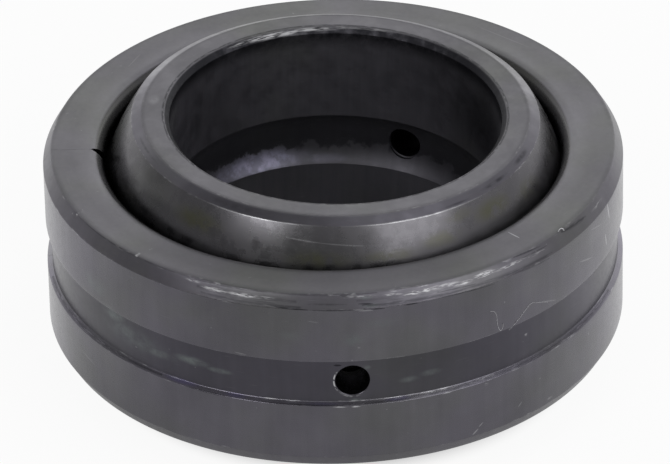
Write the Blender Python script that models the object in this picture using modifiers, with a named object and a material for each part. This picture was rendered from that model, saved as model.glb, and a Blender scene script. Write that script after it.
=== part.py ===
"""Radial spherical plain bearing, steel on steel: a cracked outer ring that swivels on a ball with a bore.

The origin is the ball's centre and +Z is the bore's axis. Lengths are in metres and angles in radians.
"""

import math

import bpy

# The bearing's standard size
BORE_DIAMETER = 0.020
OUTER_DIAMETER = 0.035
BALL_DIAMETER = 0.029
INNER_WIDTH = 0.016
OUTER_WIDTH = 0.012

# The outer ring rests tilted on the ball about the Y axis, with its +X side higher
REST_TILT = math.radians(-1.5)

# The race seats on the ball with this gap, and its two mouths are rounded
RUNNING_GAP = 0.0001
RACE_MOUTH_RADIUS = 0.0010

# Chamfers: how far each goes along the radius and along the axis
OUTER_CHAMFER = (0.00050, 0.00085)
BORE_CHAMFER = (0.00035, 0.00035)
BALL_CHAMFER = (0.00067, 0.00033)

# The oil groove round the outer ring has steep flanks and a flat floor
OUTER_GROOVE_WIDTH = 0.0031
OUTER_GROOVE_FLOOR = 0.0028
OUTER_GROOVE_DEPTH = 0.00032

# The oil groove in the bore has a round section
BORE_GROOVE_WIDTH = 0.0035
BORE_GROOVE_DEPTH = 0.0006

# Each ring is drilled right across, which leaves two opposite oil holes with broken edges
OIL_HOLE_DIAMETER = 0.0020
OIL_HOLE_BREAK = 0.00012
OUTER_DRILL_AZIMUTH = math.radians(273.8)
INNER_DRILL_AZIMUTH = math.radians(66.0)

# The V notch along the race, where the outer ring was cracked. Its sides meet at 60 degrees.
NOTCH_TIP_RADIUS = 0.01462
NOTCH_FLANK = 0.0028
NOTCH_AZIMUTH = math.radians(182.0)

# How finely round things are faceted
TURN_STEPS = 96
RACE_STEPS = 9
BALL_STEPS = 14
MOUTH_STEPS = 5
BORE_GROOVE_STEPS = 8
OIL_HOLE_STEPS = 24
SHARP_ANGLE = math.radians(25.0)

BLACKENED_STEEL = (0.085, 0.085, 0.088, 1.0)
DARK_BALL_STEEL = (0.040, 0.040, 0.034, 1.0)


def arc(centre, radius, start, end, steps):
    """Points (radius, height) of an arc in the profile's plane, both ends included."""
    points = []
    for step in range(steps + 1):
        angle = start + (end - start) * step / steps
        points.append((centre[0] + radius * math.cos(angle), centre[1] + radius * math.sin(angle)))
    return points


def mirrored_below(points):
    """The same points at the opposite height, in reverse order."""
    return [(radius, -height) for radius, height in reversed(points)]


def outer_ring_profile():
    """Down the outside from the upper face, then up the race."""
    outer_radius = OUTER_DIAMETER / 2
    half_width = OUTER_WIDTH / 2
    upper_outside = [
        (outer_radius - OUTER_CHAMFER[0], half_width),
        (outer_radius, half_width - OUTER_CHAMFER[1]),
        (outer_radius, OUTER_GROOVE_WIDTH / 2),
        (outer_radius - OUTER_GROOVE_DEPTH, OUTER_GROOVE_FLOOR / 2),
    ]
    race_radius = BALL_DIAMETER / 2 + RUNNING_GAP
    mouth_height = half_width - RACE_MOUTH_RADIUS
    mouth_distance = race_radius + RACE_MOUTH_RADIUS
    mouth_angle = math.asin(mouth_height / mouth_distance)
    mouth_centre = (mouth_distance * math.cos(mouth_angle), mouth_height)
    race = arc((0, 0), race_radius, -mouth_angle, mouth_angle, RACE_STEPS)
    upper_mouth = arc(mouth_centre, RACE_MOUTH_RADIUS, math.pi + mouth_angle, math.pi / 2, MOUTH_STEPS)
    lower_mouth = mirrored_below(upper_mouth)
    return upper_outside + mirrored_below(upper_outside) + lower_mouth + race[1:-1] + upper_mouth


def inner_ring_profile():
    """Down the ball from the upper face, then up the bore."""
    ball_radius = BALL_DIAMETER / 2
    bore_radius = BORE_DIAMETER / 2
    half_width = INNER_WIDTH / 2
    ball_angle = math.asin((half_width - BALL_CHAMFER[1]) / ball_radius)
    ball = arc((0, 0), ball_radius, ball_angle, -ball_angle, BALL_STEPS)
    face_edge = [(ball[0][0] - BALL_CHAMFER[0], half_width)]
    upper_bore = [
        (bore_radius, half_width - BORE_CHAMFER[1]),
        (bore_radius + BORE_CHAMFER[0], half_width),
    ]
    half_groove = BORE_GROOVE_WIDTH / 2
    groove_radius = (half_groove**2 + BORE_GROOVE_DEPTH**2) / (2 * BORE_GROOVE_DEPTH)
    groove_angle = math.asin(half_groove / groove_radius)
    groove_centre = (bore_radius + BORE_GROOVE_DEPTH - groove_radius, 0)
    groove = arc(groove_centre, groove_radius, -groove_angle, groove_angle, BORE_GROOVE_STEPS)
    return face_edge + ball + mirrored_below(face_edge) + mirrored_below(upper_bore) + groove + upper_bore


def clear_scene():
    for obj in list(bpy.data.objects):
        bpy.data.objects.remove(obj)


def new_collection(name):
    collection = bpy.data.collections.new(name)
    bpy.context.scene.collection.children.link(collection)
    return collection


def steel(name, colour, roughness):
    material = bpy.data.materials.new(name)
    material.use_nodes = True
    principled = material.node_tree.nodes["Principled BSDF"]
    principled.inputs["Base Color"].default_value = colour
    principled.inputs["Roughness"].default_value = roughness
    principled.inputs["Metallic"].default_value = 1.0
    return material


def turned_object(name, profile, steps, closed):
    """A profile in the XZ plane, turned about Z. A closed one comes back to its first point."""
    count = len(profile)
    edges = [(index, index + 1) for index in range(count - 1)]
    if closed:
        edges.append((count - 1, 0))
    mesh = bpy.data.meshes.new(name)
    mesh.from_pydata([(radius, 0, height) for radius, height in profile], edges, [])
    turned = bpy.data.objects.new(name, mesh)
    bpy.context.scene.collection.objects.link(turned)
    turning = turned.modifiers.new("Turning", "SCREW")
    turning.axis = "Z"
    turning.angle = 2 * math.pi
    turning.steps = steps
    turning.render_steps = steps
    turning.use_smooth_shade = True
    turning.use_merge_vertices = not closed
    turning.merge_threshold = 0.00001
    return turned


def turned_ring(name, profile, material, collection):
    ring = turned_object(name, profile, TURN_STEPS, True)
    ring.data.materials.append(material)
    bpy.context.scene.collection.objects.unlink(ring)
    collection.objects.link(ring)
    return ring


def make_cutter(tool, ring, collection):
    """Turns an object into a cutter that moves with its ring and takes its shape out of it."""
    for old in list(tool.users_collection):
        old.objects.unlink(tool)
    collection.objects.link(tool)
    tool.parent = ring
    tool.display_type = "WIRE"
    tool.hide_render = True
    cutting = ring.modifiers.new(tool.name, "BOOLEAN")
    cutting.operation = "DIFFERENCE"
    cutting.solver = "EXACT"
    cutting.object = tool


def drill_oil_holes(ring, azimuth, inner_mouth, outer_mouth, collection):
    """One drill right across the ring through the ball's centre, wider where it breaks the holes' edges.

    inner_mouth and outer_mouth are the radii of the surfaces that the holes run between.
    """
    hole = OIL_HOLE_DIAMETER / 2
    wide = hole + OIL_HOLE_BREAK
    upper_half = [
        (0, OUTER_DIAMETER),
        (wide, OUTER_DIAMETER),
        (wide, outer_mouth),
        (hole, outer_mouth - OIL_HOLE_BREAK),
        (hole, inner_mouth + OIL_HOLE_BREAK),
        (wide, inner_mouth),
    ]
    profile = upper_half + mirrored_below(upper_half)
    drill = turned_object(ring.name + "_oil_drill", profile, OIL_HOLE_STEPS, False)
    drill.rotation_euler = (0, math.pi / 2, azimuth)
    make_cutter(drill, ring, collection)


def notch_race(ring, collection):
    """A V along the race, cut with a three-sided prism whose first corner is the notch's tip."""
    broach_radius = NOTCH_FLANK / math.sqrt(3)
    bpy.ops.mesh.primitive_cylinder_add(vertices=3, radius=broach_radius, depth=2 * OUTER_WIDTH)
    broach = bpy.context.object
    broach.name = "notch_broach"
    centre_radius = NOTCH_TIP_RADIUS - broach_radius
    broach.location = (
        centre_radius * math.cos(NOTCH_AZIMUTH),
        centre_radius * math.sin(NOTCH_AZIMUTH),
        0,
    )
    broach.rotation_euler = (0, 0, NOTCH_AZIMUTH - math.pi / 2)
    make_cutter(broach, ring, collection)


def finish_ring(ring):
    """Applies the turning and the cuts, and creases the edges of faces, grooves, chamfers and holes."""
    graph = bpy.context.evaluated_depsgraph_get()
    mesh = bpy.data.meshes.new_from_object(ring.evaluated_get(graph))
    mesh.shade_smooth()
    mesh.set_sharp_from_angle(angle=SHARP_ANGLE)
    ring.modifiers.clear()
    ring.data = mesh


def main():
    clear_scene()
    bearing = new_collection("spherical_plain_bearing")
    cutters = new_collection("cutters")
    cutters.hide_render = True

    ball_radius = BALL_DIAMETER / 2
    outer_steel = steel("blackened_steel", BLACKENED_STEEL, 0.45)
    outer_ring = turned_ring("outer_ring", outer_ring_profile(), outer_steel, bearing)
    outer_ring.rotation_euler = (0, REST_TILT, 0)
    groove_floor = OUTER_DIAMETER / 2 - OUTER_GROOVE_DEPTH
    race_radius = ball_radius + RUNNING_GAP
    drill_oil_holes(outer_ring, OUTER_DRILL_AZIMUTH, race_radius, groove_floor, cutters)
    notch_race(outer_ring, cutters)

    ball_steel = steel("dark_ball_steel", DARK_BALL_STEEL, 0.30)
    inner_ring = turned_ring("inner_ring", inner_ring_profile(), ball_steel, bearing)
    groove_floor = BORE_DIAMETER / 2 + BORE_GROOVE_DEPTH
    drill_oil_holes(inner_ring, INNER_DRILL_AZIMUTH, groove_floor, ball_radius, cutters)

    for ring in (outer_ring, inner_ring):
        finish_ring(ring)


main()
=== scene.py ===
"""A spherical plain bearing in worn, blackened steel: a cracked outer ring that swivels on a ball with a bore.

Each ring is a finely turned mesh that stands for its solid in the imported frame. Sizes in the panel are in
metres. Profiles, marks and materials are written in millimetres, in each ring's own place: the radius from
its axis, the height above its middle, and the angle from the front, which is -Y, growing towards +X.
"""

import math

import bpy
import numpy
from bpy.props import FloatProperty, FloatVectorProperty, IntProperty, PointerProperty
from mathutils import Euler, Matrix, Vector, noise


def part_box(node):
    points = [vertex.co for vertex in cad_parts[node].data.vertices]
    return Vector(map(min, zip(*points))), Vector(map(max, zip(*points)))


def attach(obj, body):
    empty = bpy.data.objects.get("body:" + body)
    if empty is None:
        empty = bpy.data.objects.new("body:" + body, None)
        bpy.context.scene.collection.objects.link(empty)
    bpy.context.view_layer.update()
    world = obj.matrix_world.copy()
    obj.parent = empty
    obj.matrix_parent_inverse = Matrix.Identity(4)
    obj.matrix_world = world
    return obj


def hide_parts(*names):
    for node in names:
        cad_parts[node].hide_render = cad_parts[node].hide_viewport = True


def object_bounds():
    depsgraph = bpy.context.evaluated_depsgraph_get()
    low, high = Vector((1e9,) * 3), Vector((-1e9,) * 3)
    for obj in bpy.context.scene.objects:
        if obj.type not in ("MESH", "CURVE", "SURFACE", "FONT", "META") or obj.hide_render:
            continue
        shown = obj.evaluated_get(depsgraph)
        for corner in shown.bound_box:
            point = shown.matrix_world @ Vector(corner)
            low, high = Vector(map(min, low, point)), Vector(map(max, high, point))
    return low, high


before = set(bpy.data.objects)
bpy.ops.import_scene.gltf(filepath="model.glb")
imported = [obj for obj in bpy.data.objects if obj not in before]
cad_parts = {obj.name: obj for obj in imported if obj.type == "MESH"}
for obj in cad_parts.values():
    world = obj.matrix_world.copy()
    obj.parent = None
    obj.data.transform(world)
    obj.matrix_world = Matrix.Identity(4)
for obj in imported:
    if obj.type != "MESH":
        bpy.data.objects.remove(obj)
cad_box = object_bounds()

bl_info = {
    "name": "Spherical plain bearing",
    "version": (1, 0, 0),
    "blender": (4, 5, 0),
    "location": "View3D > Sidebar > Bearing",
    "description": "Turns the two rings of a spherical plain bearing and gives them worn, blackened steel",
    "category": "Object",
}

MM = 0.001
PICTURE_WIDTH = 670
SHIFT_PIXELS = (0.42, -6.64)
FLOOR_REACH = 1.6

OUTER_LOW, OUTER_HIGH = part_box("outer_ring")
INNER_LOW, INNER_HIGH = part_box("inner_ring")

# The turned profiles. A chamfer is given along the radius and along the axis, and an oil groove by half its width.
OUTER_CHAMFER = (0.50, 0.85)
BALL_CHAMFER = (0.67, 0.33)
BORE_CHAMFER = 0.35
MOUTH_RADIUS = 1.0
GROOVE_EDGE = 1.55
GROOVE_FLOOR_EDGE = 1.40
GROOVE_DEPTH = 0.32
BORE_GROOVE_EDGE = 1.75
BORE_GROOVE_DEPTH = 0.60

# Their corners are broken by these radii, and no piece of them is longer than the span
SHARP_BREAK = 0.05
SOFT_BREAK = 0.12
FACE_BREAK = 0.20
LONGEST_SPAN = 0.28

# Where the rings are drilled, notched and cracked. The angles are from the front, in degrees.
OUTER_HOLE_ANGLE = 3.8
OUTER_HOLE_FLARE = 0.12
INNER_HOLE_ANGLE = 156.0
INNER_HOLE_FLARE = 0.06
CRACK_ANGLE = -88.0
NOTCH_TIP_RADIUS = 14.62
NOTCH_FLANK = 2.8
CRACK_FROM, CRACK_TO = 14.45, 18.2
CRACK_OPENING = 0.014

# Edges sharper than this are creased, and the steel's relief is this deep
SHARP_ANGLE = math.radians(32)
RELIEF_DEPTH = 0.0028

# Nicks in the edges: angle from the front, radius, height, reach round, reach across and depth
OUTER_NICKS = [
    (-23.5, 17.22, 5.66, 0.42, 0.12, 0.035), (-17, 17.25, 5.6, 0.6, 0.1, 0.03), (-42.5, 16.95, 6, 0.16, 0.12, 0.04),
    (15.2, 17.2, 5.66, 0.34, 0.14, 0.045), (20.4, 17.16, 5.74, 0.3, 0.12, 0.035),
    (31.5, 17.22, 5.64, 0.4, 0.15, 0.04), (52.6, 17.02, 5.97, 0.2, 0.16, 0.05), (69.4, 17.4, 5.3, 0.3, 0.2, 0.04),
    (-62.7, 16.98, 6, 0.2, 0.12, 0.035), (128, 17.3, 5.5, 0.5, 0.16, 0.04), (-141, 17.2, 5.7, 0.36, 0.12, 0.035),
    (-8.5, 17.46, -1.58, 0.3, 0.08, 0.03), (24, 17.48, -1.6, 0.55, 0.08, 0.03), (57, 17.3, -5.5, 0.4, 0.15, 0.04),
    (-76, 17.25, -5.6, 0.5, 0.15, 0.045),
]
INNER_NICKS = [
    (-96.4, 10.6, 8, 0.3, 0.2, 0.03), (28, 12.28, 7.68, 0.35, 0.08, 0.025), (-51, 12.26, 7.69, 0.4, 0.08, 0.025),
    (106, 11.66, 7.99, 0.25, 0.1, 0.03), (-160, 12.2, -7.7, 0.4, 0.12, 0.03),
]

# Lint on the outer ring: each fibre's thickness and points, as angle from the front, radius and height
LINT = [
    (0.9, [(31.9, 17.5, 3.22), (32.4, 17.5, 3.2), (33.2, 17.5, 2.96), (33.5, 17.5, 2.4), (33.9, 17.5, 1.82),
        (34.4, 17.49, 1.62), (34.8, 17.5, 1.8), (34.9, 17.51, 2.06)]),
    (0.9, [(36.7, 17.34, 1.3), (37.6, 17.5, 1.66), (39.2, 17.5, 2.02), (40.6, 17.5, 2.36), (42.0, 17.5, 2.56),
        (43.6, 17.5, 2.4), (45.4, 17.5, 2.2), (46.6, 17.5, 2.02)]),
    (2.2, [(51.7, 17.0, 5.98), (51.9, 17.02, 6.07), (52.4, 17.03, 6.1), (52.9, 17.06, 6.04), (53.1, 17.12, 5.9)]),
]
LINT_RADIUS = 0.011
LINT_LIFT = 0.01


def length_property(name, description, default):
    return FloatProperty(name=name, description=description, default=default, unit="LENGTH")


def angle_property(name, description, degrees):
    default = math.radians(degrees)
    return FloatProperty(name=name, description=description, default=default, unit="ROTATION", subtype="ANGLE")


def colour_property(name, description, default):
    return FloatVectorProperty(
        name=name, description=description, default=default, size=3, min=0, max=1, subtype="COLOR"
    )


class BearingSizes(bpy.types.PropertyGroup):
    """The bearing's driving sizes, and how finely its rings are turned."""

    outer_diameter: length_property(
        "Outside diameter", "Diameter of the outer ring", OUTER_HIGH[1] - OUTER_LOW[1]
    )
    outer_width: length_property("Outer width", "Width of the outer ring", 0.012)
    ball_diameter: length_property(
        "Ball diameter", "Diameter of the ball that the outer ring swivels on", INNER_HIGH[0] - INNER_LOW[0]
    )
    inner_width: length_property("Inner width", "Width of the inner ring", INNER_HIGH[2] - INNER_LOW[2])
    bore_diameter: length_property("Bore diameter", "Diameter of the bore, which takes the shaft", 0.020)
    running_gap: length_property("Running gap", "Gap between the ball and the race", 0.0001)
    oil_hole_diameter: length_property(
        "Oil hole diameter", "Diameter of the drilled oil holes in both rings", 0.0020
    )
    rest_tilt: angle_property(
        "Rest tilt", "Turn of the outer ring about Y on the ball. Below zero its +X side stands higher", -1.5
    )
    turn_steps: IntProperty(
        name="Facets round",
        description="Number of facets round each ring. A multiple of four keeps the diameter exact",
        default=540,
    )


class BearingFinish(bpy.types.PropertyGroup):
    """Colours of the blackened steel where it is ground, turned, ball-polished and worn, and of the shade and
    highlights painted on it.
    """

    face: colour_property("Flat faces", "Colour of the ground end faces", (0.176, 0.176, 0.178))
    land: colour_property("Outside", "Colour of the outer ring's ground outside", (0.144, 0.141, 0.152))
    groove: colour_property("Oil groove", "Colour of the turned oil groove", (0.086, 0.084, 0.094))
    race: colour_property("Race", "Colour of the race and of its rounded mouth", (0.068, 0.068, 0.066))
    ball: colour_property("Ball", "Colour of the polished ball", (0.113, 0.112, 0.113))
    flank: colour_property("Groove flanks", "Colour of the oil groove's steep sides", (0.170, 0.165, 0.184))
    chamfer: colour_property("Chamfers", "Colour of the outer ring's chamfers", (0.124, 0.121, 0.130))
    ball_chamfer: colour_property("Ball chamfers", "Colour of the inner ring's outer chamfers", (0.106, 0.104, 0.112))
    bore: colour_property("Bore", "Colour of the bore", (0.115, 0.114, 0.122))
    # The worn steel's colour also paints the highlights on the oil hole's rim and the ball's edge, and the sheen on
    # the side and chamfer
    bright: colour_property("Worn steel", "Colour where the black is worn off", (0.62, 0.62, 0.64))
    # The soot colour also paints shade in the bore, in its groove, low on the ball and on the chamfers
    soot_and_shade: colour_property("Soot", "Colour of the dark lines and blots", (0.016, 0.016, 0.020))
    violet: colour_property("Flank violet", "Temper colour on the oil groove's flank", (0.170, 0.155, 0.260))
    # Bore violet is temper colour, and it paints the highlight low in the bore's groove too
    temper_and_highlight: colour_property("Bore violet", "Temper colour low in the bore's groove", (0.345, 0.335, 0.450))
    film: colour_property("Oil film", "Colour of the oil film on the ball", (0.100, 0.100, 0.066))
    stain: colour_property("Stain", "Colour of the dried oil smears", (0.172, 0.190, 0.192))
    lint: colour_property("Lint", "Colour of the fibres that cling to the ring", (0.50, 0.50, 0.52))


class BearingStage(bpy.types.PropertyGroup):
    """The camera, the floor and the light."""

    distance: length_property("Camera distance", "From the camera to the ball's centre", 0.420)
    elevation: angle_property("Camera elevation", "How far the camera looks down", 32.17)
    roll: angle_property(
        "Camera roll", "Turn of the camera about its view, counter-clockwise from behind it", 0.505
    )
    focal_pixels: FloatProperty(
        name="Focal length in pixels",
        description="Focal length in pixels of a picture 670 pixels wide",
        default=6913.4,
    )
    floor: colour_property("Floor", "Colour of the floor", (0.80, 0.80, 0.80))


# ---- Profiles and turned meshes, in millimetres ----


def arc(centre, radius, start, end, steps):
    """Corners (radius, height, rounding) along an arc in the profile's plane, both ends included."""
    corners = []
    for step in range(steps + 1):
        angle = start + (end - start) * step / steps
        place = (centre[0] + radius * math.cos(angle), centre[1] + radius * math.sin(angle))
        corners.append((*place, 0))
    return corners


def mirrored_below(corners):
    """The same corners at the opposite height, in reverse order."""
    return [(radius, -height, rounding) for radius, height, rounding in reversed(corners)]


def rounded_corner(before, corner, after, rounding, steps=4):
    """The points of a small arc that breaks one corner of a profile."""
    to_before = (before - corner).normalized()
    to_after = (after - corner).normalized()
    half_angle = to_before.angle(to_after) / 2
    trim = rounding / math.tan(half_angle)
    trim = min(trim, 0.45 * (before - corner).length, 0.45 * (after - corner).length)
    start, end = corner + trim * to_before, corner + trim * to_after
    points = []
    for step in range(steps + 1):
        share = step / steps
        towards_corner = (1 - share) * (1 - share), 2 * share * (1 - share), share * share
        points.append(towards_corner[0] * start + towards_corner[1] * corner + towards_corner[2] * end)
    return points


def fine_profile(corners):
    """Closed profile points with every marked corner rounded and long stretches split."""
    flat = [Vector((radius, height)) for radius, height, _ in corners]
    points = []
    for index, (_, _, rounding) in enumerate(corners):
        if rounding:
            before, after = flat[index - 1], flat[(index + 1) % len(flat)]
            points.extend(rounded_corner(before, flat[index], after, rounding))
        else:
            points.append(flat[index])
    split = []
    for index, point in enumerate(points):
        following = points[(index + 1) % len(points)]
        pieces = max(1, math.ceil((following - point).length / LONGEST_SPAN))
        split.extend(point.lerp(following, piece / pieces) for piece in range(pieces))
    return split


def turned(name, profile, steps):
    """A closed profile turned about Z into a ring, with its front at -Y. Returns a linked object."""
    count = len(profile)
    points = []
    for step in range(steps):
        angle = 2 * math.pi * step / steps
        along, across = math.sin(angle), -math.cos(angle)
        points.extend((p[0] * along, p[0] * across, p[1]) for p in profile)
    faces = []
    for step in range(steps):
        here, there = step * count, (step + 1) % steps * count
        for index in range(count):
            after = (index + 1) % count
            faces.append((here + index, here + after, there + after, there + index))
    return object_of(name, points, faces)


def placed(name, data):
    """A new object in the scene."""
    made = bpy.data.objects.new(name, data)
    bpy.context.scene.collection.objects.link(made)
    return made


def object_of(name, points, faces):
    mesh = bpy.data.meshes.new(name)
    mesh.from_pydata([tuple(p) for p in points], [], faces)
    mesh.update()
    return placed(name, mesh)


def outer_profile(sizes):
    """Down the outside of the outer ring from its upper face, then up the race."""
    radius = sizes.outer_diameter / 2 / MM
    half = sizes.outer_width / 2 / MM
    upper = [
        (radius - OUTER_CHAMFER[0], half, FACE_BREAK),
        (radius, half - OUTER_CHAMFER[1], SOFT_BREAK),
        (radius, GROOVE_EDGE, SHARP_BREAK),
        (radius - GROOVE_DEPTH, GROOVE_FLOOR_EDGE, SOFT_BREAK),
    ]
    race = (sizes.ball_diameter / 2 + sizes.running_gap) / MM
    mouth_height, mouth_distance = half - MOUTH_RADIUS, race + MOUTH_RADIUS
    mouth_angle = math.asin(mouth_height / mouth_distance)
    centre = (mouth_distance * math.cos(mouth_angle), mouth_height)
    wall = arc((0, 0), race, -mouth_angle, mouth_angle, 40)
    upper_mouth = arc(centre, MOUTH_RADIUS, math.pi + mouth_angle, math.pi / 2, 14)
    return upper + mirrored_below(upper) + mirrored_below(upper_mouth) + wall[1:-1] + upper_mouth


def sharp_ended(corners):
    """The same corners with the first and the last one broken sharply."""
    first, last = ((*corner[:2], SHARP_BREAK) for corner in (corners[0], corners[-1]))
    return [first, *corners[1:-1], last]


def inner_profile(sizes):
    """Down the ball from the inner ring's upper face, then up the bore."""
    ball_radius = sizes.ball_diameter / 2 / MM
    bore_radius = sizes.bore_diameter / 2 / MM
    half = sizes.inner_width / 2 / MM
    ball_angle = math.asin((half - BALL_CHAMFER[1]) / ball_radius)
    ball = sharp_ended(arc((0, 0), ball_radius, ball_angle, -ball_angle, 58))
    face_edge = [(ball[0][0] - BALL_CHAMFER[0], half, SOFT_BREAK)]
    upper_bore = [
        (bore_radius, half - BORE_CHAMFER, SOFT_BREAK),
        (bore_radius + BORE_CHAMFER, half, SHARP_BREAK),
    ]
    groove_radius = (BORE_GROOVE_EDGE**2 + BORE_GROOVE_DEPTH**2) / (2 * BORE_GROOVE_DEPTH)
    groove_angle = math.asin(BORE_GROOVE_EDGE / groove_radius)
    centre = (bore_radius + BORE_GROOVE_DEPTH - groove_radius, 0)
    groove = sharp_ended(arc(centre, groove_radius, -groove_angle, groove_angle, 18))
    return face_edge + ball + mirrored_below(face_edge) + mirrored_below(upper_bore) + groove + upper_bore


def from_front(degrees):
    """Takes what is made at the front round to its angle."""
    return Matrix.Rotation(math.radians(degrees), 4, "Z")


def oil_drill(sizes, front_angle, inner_mouth, outer_mouth, flare, reach=20.0, steps=56):
    """A drill right across a ring, flared at both mouths so that the holes' edges come out rounded."""
    hole = sizes.oil_hole_diameter / 2 / MM
    widening = [
        (hole + flare * (1 - math.cos(turn)), flare * math.sin(turn))
        for turn in (math.radians(angle) for angle in range(0, 91, 15))
    ]
    half_profile = [(widening[-1][0], reach)]
    half_profile += [(radius, outer_mouth - flare + rise) for radius, rise in reversed(widening)]
    half_profile += [(radius, inner_mouth + flare - rise) for radius, rise in widening]
    profile = half_profile + [(radius, -height) for radius, height in reversed(half_profile)]
    points, faces, count = [], [], len(profile)
    for step in range(steps):
        angle = 2 * math.pi * step / steps
        points.extend((r * math.cos(angle), r * math.sin(angle), h) for r, h in profile)
        here, there = step * count, (step + 1) % steps * count
        faces.extend((here + i + 1, there + i + 1, there + i, here + i) for i in range(count - 1))
    faces.append(tuple(step * count for step in range(steps)))
    faces.append(tuple(step * count + count - 1 for step in reversed(range(steps))))
    drill = object_of("oil_drill", points, faces)
    drill.data.transform(from_front(front_angle) @ Matrix.Rotation(math.pi / 2, 4, "X"))
    return drill


def notch_broach(tip_radius, flank, front_angle, height=8.0):
    """A V cutter whose edge stands upright at the notch's tip."""
    depth = flank * math.cos(math.radians(30))
    corners = [(0, -tip_radius), (flank / 2, depth - tip_radius), (-flank / 2, depth - tip_radius)]
    points = [(x, y, z) for z in (-height, height) for x, y in corners]
    faces = [(2, 1, 0), (3, 4, 5), (0, 1, 4, 3), (1, 2, 5, 4), (2, 0, 3, 5)]
    broach = object_of("notch_broach", points, faces)
    broach.data.transform(from_front(front_angle))
    return broach


def crack_blade(inner_radius, outer_radius, front_angle, opening, height=7.0, rows=70, columns=22):
    """A thin crooked blade that leaves the hairline where the ring was cracked through."""
    points = []
    for side in (-0.5, 0.5):
        for row in range(rows + 1):
            z = height * (2 * row / rows - 1)
            for column in range(columns + 1):
                reach = inner_radius + (outer_radius - inner_radius) * column / columns
                wander = 0.10 * noise.noise(Vector((reach * 0.9, z * 0.7, 3.1)))
                wander += 0.035 * noise.noise(Vector((reach * 4.0, z * 3.2, 9.4)))
                points.append((wander + side * opening, -reach, z))
    wide, sheet = columns + 1, (rows + 1) * (columns + 1)
    top = sheet - wide
    faces = []
    for corner in (row + column for row in range(0, top, wide) for column in range(columns)):
        quad = (corner, corner + 1, corner + wide + 1, corner + wide)
        faces += [quad, tuple(sheet + index for index in reversed(quad))]
    rims = [rim for c in range(columns) for rim in ((c + 1, c), (top + c, top + c + 1))]
    rims += [rim for r in range(0, top, wide) for rim in ((r, r + wide), (r + wide + columns, r + columns))]
    faces += [(start, end, sheet + end, sheet + start) for start, end in rims]
    blade = object_of("crack_blade", points, faces)
    blade.data.transform(from_front(front_angle))
    return blade


def cut_away(ring, cutters):
    """Takes the cutters' shapes out of the ring for good and throws the cutters away."""
    for tool in cutters:
        cutting = ring.modifiers.new(tool.name, "BOOLEAN")
        cutting.operation = "DIFFERENCE"
        cutting.solver = "EXACT"
        cutting.object = tool
    bpy.context.view_layer.update()
    graph = bpy.context.evaluated_depsgraph_get()
    mesh = bpy.data.meshes.new_from_object(ring.evaluated_get(graph))
    ring.modifiers.clear()
    ring.data = mesh
    for tool in cutters:
        bpy.data.objects.remove(tool)
    if not mesh.polygons:
        raise RuntimeError(f"{ring.name} was lost while it was cut")


def corners_of(mesh, key):
    """The mesh's places or normals as rows of three numbers."""
    numbers = numpy.empty(len(mesh.vertices) * 3)
    mesh.vertices.foreach_get(key, numbers)
    return numbers.reshape(-1, 3)


def dent(mesh, nicks):
    """Presses small ragged nicks into a ring's skin, inwards only."""
    points, outwards = corners_of(mesh, "co"), corners_of(mesh, "normal")
    radius = numpy.hypot(points[:, 0], points[:, 1])
    front_angle = numpy.degrees(numpy.arctan2(points[:, 0], -points[:, 1]))
    for angle, at_radius, at_height, reach_round, reach_across, depth in nicks:
        turn = (front_angle - angle + 180) % 360 - 180
        round_it = numpy.radians(turn) * at_radius / reach_round
        across = numpy.hypot(radius - at_radius, points[:, 2] - at_height) / reach_across
        press = numpy.exp(-(round_it**2 + across**2))
        for index in numpy.nonzero(press > 0.02)[0]:
            ragged = 0.75 + 0.5 * noise.noise(Vector(points[index] * 4.0))
            points[index] -= outwards[index] * depth * press[index] * ragged
    mesh.vertices.foreach_set("co", points.reshape(-1))
    mesh.update()


def finish_ring(ring, nicks, tilt, materials, border=0.0):
    """Nicks the ring, tilts it, brings it to metres, shades it and gives it its steel.

    Of two materials, the second goes on all that is above the border height.
    """
    mesh = ring.data
    dent(mesh, nicks)
    mesh.materials.clear()
    for material in materials:
        mesh.materials.append(material)
    last = len(materials) - 1
    slots = [min(last, int(face.center.z > border)) for face in mesh.polygons]
    mesh.polygons.foreach_set("material_index", slots)
    mesh.transform(Matrix.Rotation(tilt, 4, "Y") @ Matrix.Scale(MM, 4))
    mesh.shade_smooth()
    mesh.set_sharp_from_angle(angle=SHARP_ANGLE)


# ---- Materials ----


class Wire:
    """A value on its way through a node tree. It is reckoned with like a plain number."""

    def __init__(self, recipe, socket):
        self.recipe = recipe
        self.socket = socket

    def __add__(self, other):
        return self.recipe.calc("ADD", self, other)

    def __radd__(self, other):
        return self.recipe.calc("ADD", other, self)

    def __sub__(self, other):
        return self.recipe.calc("SUBTRACT", self, other)

    def __rsub__(self, other):
        return self.recipe.calc("SUBTRACT", other, self)

    def __mul__(self, other):
        return self.recipe.calc("MULTIPLY", self, other)

    def __rmul__(self, other):
        return self.recipe.calc("MULTIPLY", other, self)

    def __truediv__(self, other):
        return self.recipe.calc("DIVIDE", self, other)

    def scaled(self, factor, onto):
        """The value times a factor, added onto another."""
        return self.recipe.calc("MULTIPLY_ADD", self, factor, onto)

    def between(self, start, end, low, high, course="LINEAR"):
        """low where the value is at start, high where it is at end, and even between."""
        inputs = {"Value": self, "From Min": start, "From Max": end, "To Min": low, "To Max": high}
        return self.recipe.wire("ShaderNodeMapRange", 0, inputs, interpolation_type=course)

    def fade(self, start, end):
        """0 where the value is at start, 1 where it is at end, and smooth between."""
        return self.between(start, end, 0.0, 1.0, "SMOOTHSTEP")

    def grey(self):
        return self.recipe.combine(self, self, self)


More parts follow.
